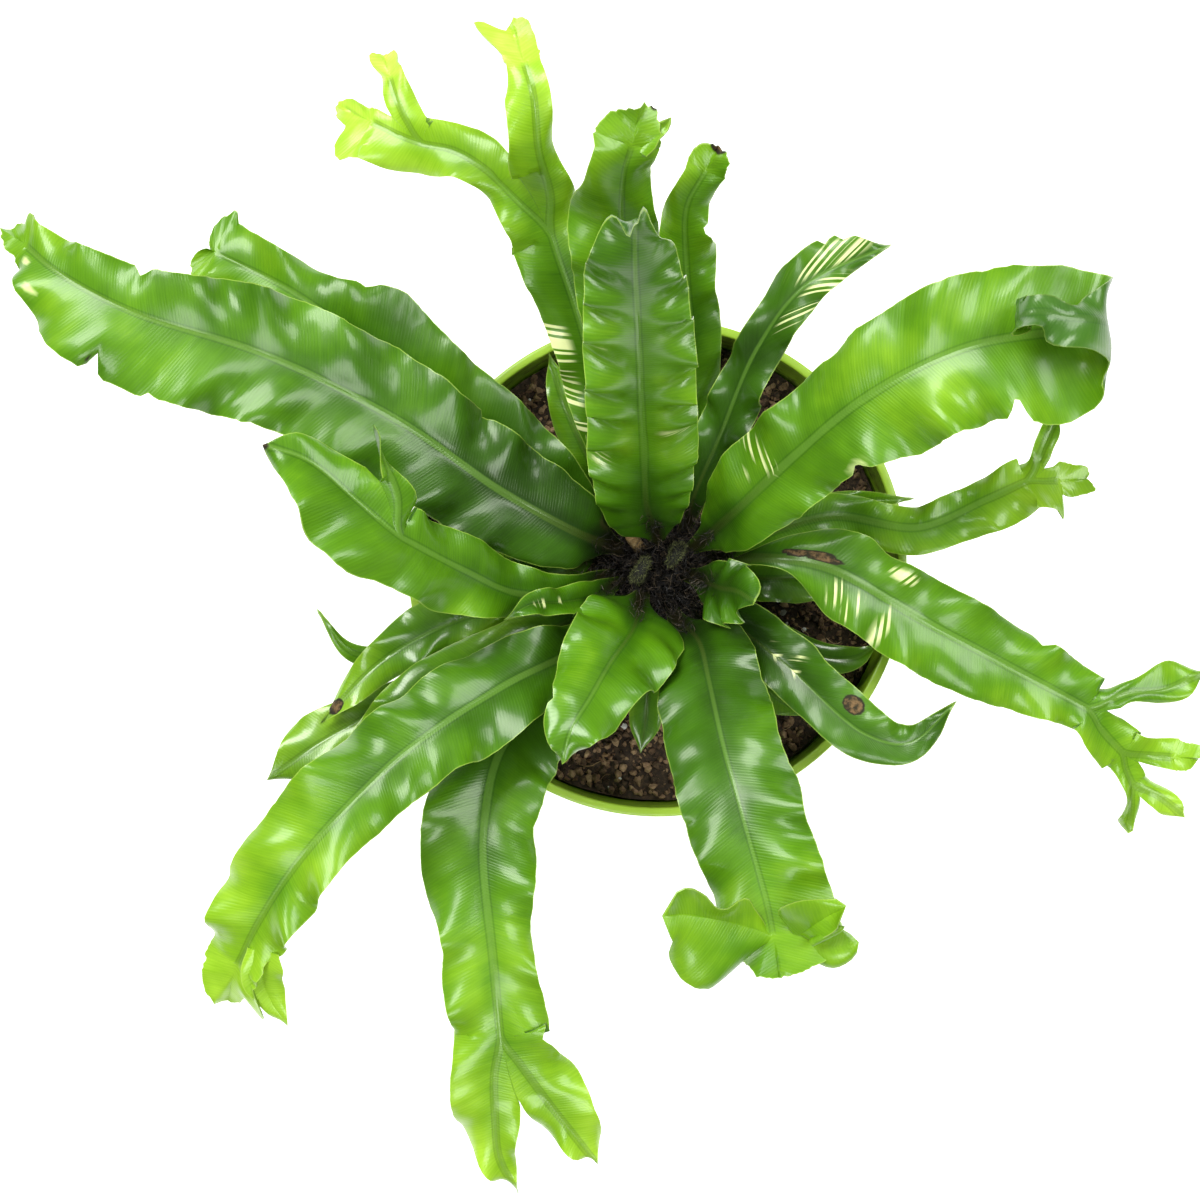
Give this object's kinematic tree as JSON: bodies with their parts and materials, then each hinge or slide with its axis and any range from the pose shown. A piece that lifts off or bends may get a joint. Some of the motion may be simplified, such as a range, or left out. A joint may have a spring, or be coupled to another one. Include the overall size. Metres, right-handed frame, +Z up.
{
  "type": "potted bird's nest fern",
  "caption": "Bird's nest fern with wavy, strap-shaped and fork-tipped fronds that spread from a dark scaly crown in a round plastic grower pot.",
  "frame": {"origin": "centre of the pot's underside, on the surface that the pot stands on", "axes": "+Z up along the pot's axis, +X to the picture's right and +Y to its top edge, as seen from straight above"},
  "size_m": [0.3645, 0.3521, 0.2811],
  "materials": {
    "pot_plastic": "satin",
    "potting_mix": "matte",
    "rootstock": "matte",
    "young_bud": "matte",
    "cut_stalk": "matte",
    "leaf": "satin",
    "leaf_glossy": "gloss",
    "leaf_dark": "satin"
  },
  "bodies": {
    "root": {"pot": "pot_plastic", "soil": "potting_mix", "crown": "rootstock", "crozier_middle": "young_bud", "crozier_front": "young_bud", "stalk_stub": "cut_stalk", "frond_west_long": "leaf", "frond_west_back": "leaf", "frond_west_lobed": "leaf", "frond_southwest_long": "leaf", "frond_south_forked": "leaf", "frond_south_curled": "leaf", "frond_east_forked": "leaf", "frond_east_mid": "leaf", "frond_northeast_big": "leaf", "frond_northeast_narrow": "leaf", "frond_north_right": "leaf", "frond_north_curled": "leaf", "frond_north_forked": "leaf", "frond_southeast": "leaf", "frond_inner_north": "leaf_glossy", "frond_inner_southwest": "leaf_glossy", "frond_inner_east": "leaf_glossy", "frond_inner_west": "leaf_glossy", "frond_west_dark": "leaf_dark", "frond_west_thin": "leaf_dark", "frond_west_under": "leaf_dark", "frond_southwest_under": "leaf_dark", "frond_southwest_round": "leaf_dark", "frond_northwest_slim": "leaf_dark", "frond_east_slim": "leaf_dark", "frond_east_low": "leaf_dark", "frond_east_small": "leaf_dark", "frond_southeast_dark": "leaf_dark", "frond_south_small": "leaf_dark"}
  },
  "joints": []
}
